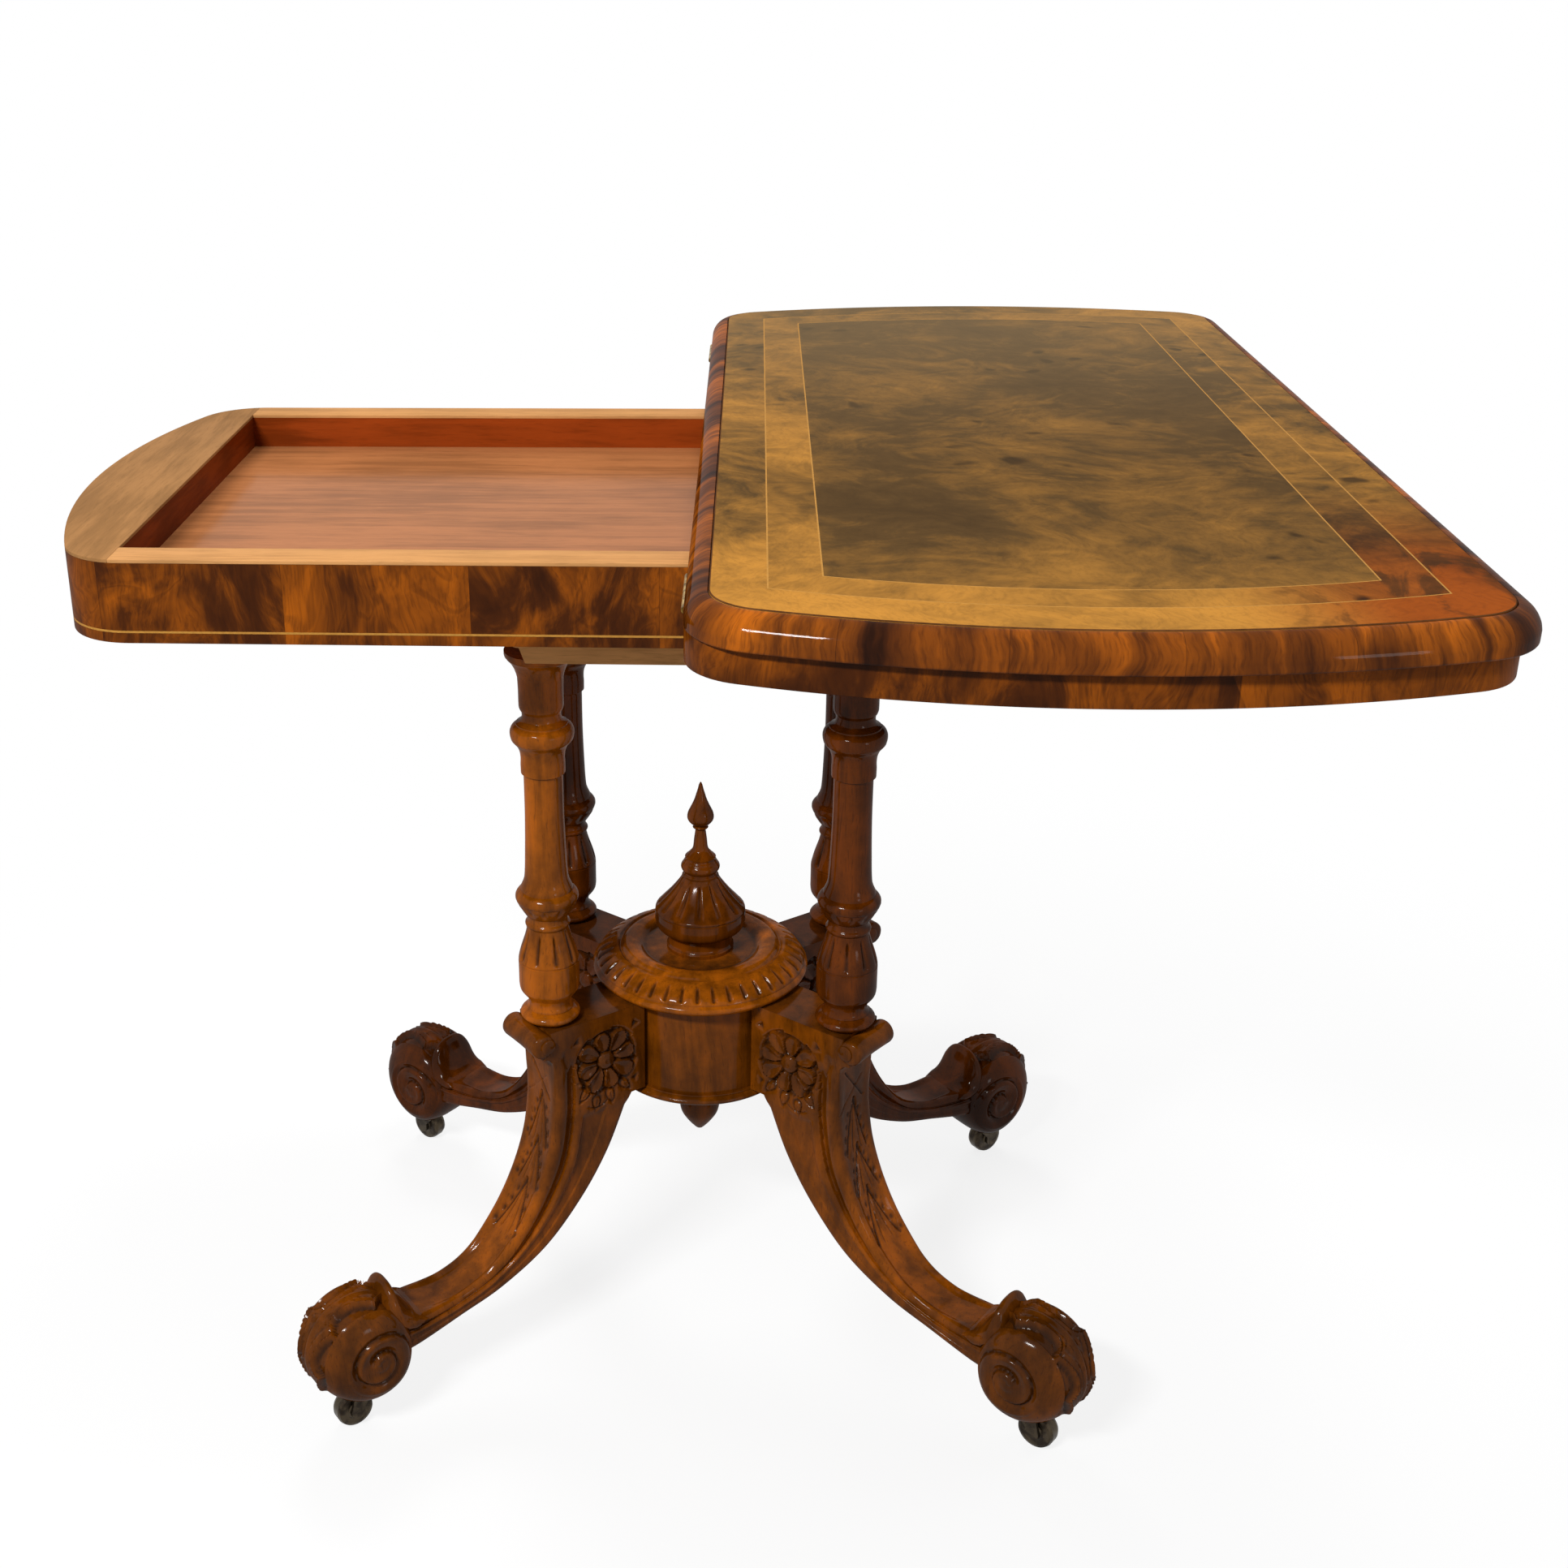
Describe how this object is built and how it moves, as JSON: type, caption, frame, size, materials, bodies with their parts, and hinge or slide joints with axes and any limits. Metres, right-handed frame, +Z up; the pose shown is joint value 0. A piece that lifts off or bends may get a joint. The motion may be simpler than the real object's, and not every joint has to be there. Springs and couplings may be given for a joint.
{
  "type": "games table",
  "caption": "Swivel-top folding games table: bowed twin leaves over a lined frieze well, on turned columns, a gouged drum and carved scroll legs with castors.",
  "frame": {"origin": "on the floor, on the pedestal's axis, under the middle of the object's box to within a few millimetres", "axes": "+Z up; +X to the right along the frieze, towards the swivelled top; +Y to the back"},
  "size_m": [0.8735, 0.914, 0.728],
  "materials": {
    "burr_walnut": "polished",
    "cross_grain_walnut": "polished",
    "figured_walnut": "polished",
    "carved_walnut": "polished",
    "pale_walnut": "satin",
    "mahogany": "polished",
    "boxwood": "polished",
    "baize": "matte",
    "hinge_brass": "satin",
    "iron": "worn"
  },
  "bodies": {
    "base": {"frieze_front_rail": "figured_walnut", "frieze_back_rail": "figured_walnut", "frieze_left_end": "figured_walnut", "frieze_right_end": "figured_walnut", "frieze_string": "boxwood", "border_front": "pale_walnut", "border_back": "pale_walnut", "border_left": "pale_walnut", "border_right": "pale_walnut", "well_floor": "mahogany", "well_lining_front": "mahogany", "well_lining_back": "mahogany", "well_lining_left": "mahogany", "well_lining_right": "mahogany", "pivot_rail": "mahogany", "cross_rail_left": "mahogany", "cross_rail_right": "mahogany", "bearer_front": "carved_walnut", "bearer_back": "carved_walnut", "drum": "carved_walnut", "top_disc": "carved_walnut", "bottom_disc": "carved_walnut", "finial_cone": "carved_walnut", "finial_spire": "carved_walnut", "pendant": "carved_walnut", "column_fl": "carved_walnut", "column_fr": "carved_walnut", "column_bl": "carved_walnut", "column_br": "carved_walnut", "leg_fl": "carved_walnut", "leg_fr": "carved_walnut", "leg_bl": "carved_walnut", "leg_br": "carved_walnut", "bearer_screws": "iron", "castor_plates": "iron"},
    "top": {"lower_leaf": "figured_walnut", "lower_baize": "baize", "hinge_fixed_plates": "hinge_brass", "hinge_pins": "hinge_brass", "pivot_plate": "iron", "pivot_bolt": "iron", "pivot_washer": "iron", "pivot_nut": "iron"},
    "flap": {"upper_panel": "burr_walnut", "upper_moulding": "cross_grain_walnut", "upper_baize": "baize", "hinge_moving_plates": "hinge_brass"},
    "castor_fl": {"castor_fork_fl": "iron"},
    "wheel_fl": {"castor_wheel_fl": "iron"},
    "castor_fr": {"castor_fork_fr": "iron"},
    "wheel_fr": {"castor_wheel_fr": "iron"},
    "castor_bl": {"castor_fork_bl": "iron"},
    "wheel_bl": {"castor_wheel_bl": "iron"},
    "castor_br": {"castor_fork_br": "iron"},
    "wheel_br": {"castor_wheel_br": "iron"}
  },
  "joints": [
    {"name": "top_swivel", "type": "hinge", "parent": "base", "child": "top", "pos_m": [0.11, 0.11, 0.688], "axis": [0, 0, 1], "range_deg": [-90, 0]},
    {"name": "leaf_fold", "type": "hinge", "parent": "top", "child": "flap", "pos_m": [0, 0, 0.70815], "axis": [0, -1, 0], "range_deg": [0, 180]},
    {"name": "castor_swivel_fl", "type": "hinge", "parent": "base", "child": "castor_fl", "pos_m": [-0.25317, -0.19078, 0.03], "axis": [0, 0, 1], "continuous": true},
    {"name": "wheel_roll_fl", "type": "hinge", "parent": "castor_fl", "child": "wheel_fl", "pos_m": [-0.25796, -0.19439, 0.0145], "axis": [0.6018, -0.7986, 0], "continuous": true},
    {"name": "castor_swivel_fr", "type": "hinge", "parent": "base", "child": "castor_fr", "pos_m": [0.25317, -0.19078, 0.03], "axis": [0, 0, 1], "continuous": true},
    {"name": "wheel_roll_fr", "type": "hinge", "parent": "castor_fr", "child": "wheel_fr", "pos_m": [0.25796, -0.19439, 0.0145], "axis": [0.6018, 0.7986, 0], "continuous": true},
    {"name": "castor_swivel_bl", "type": "hinge", "parent": "base", "child": "castor_bl", "pos_m": [-0.25317, 0.19078, 0.03], "axis": [0, 0, 1], "continuous": true},
    {"name": "wheel_roll_bl", "type": "hinge", "parent": "castor_bl", "child": "wheel_bl", "pos_m": [-0.25796, 0.19439, 0.0145], "axis": [-0.6018, -0.7986, 0], "continuous": true},
    {"name": "castor_swivel_br", "type": "hinge", "parent": "base", "child": "castor_br", "pos_m": [0.25317, 0.19078, 0.03], "axis": [0, 0, 1], "continuous": true},
    {"name": "wheel_roll_br", "type": "hinge", "parent": "castor_br", "child": "wheel_br", "pos_m": [0.25796, 0.19439, 0.0145], "axis": [-0.6018, 0.7986, 0], "continuous": true}
  ]
}
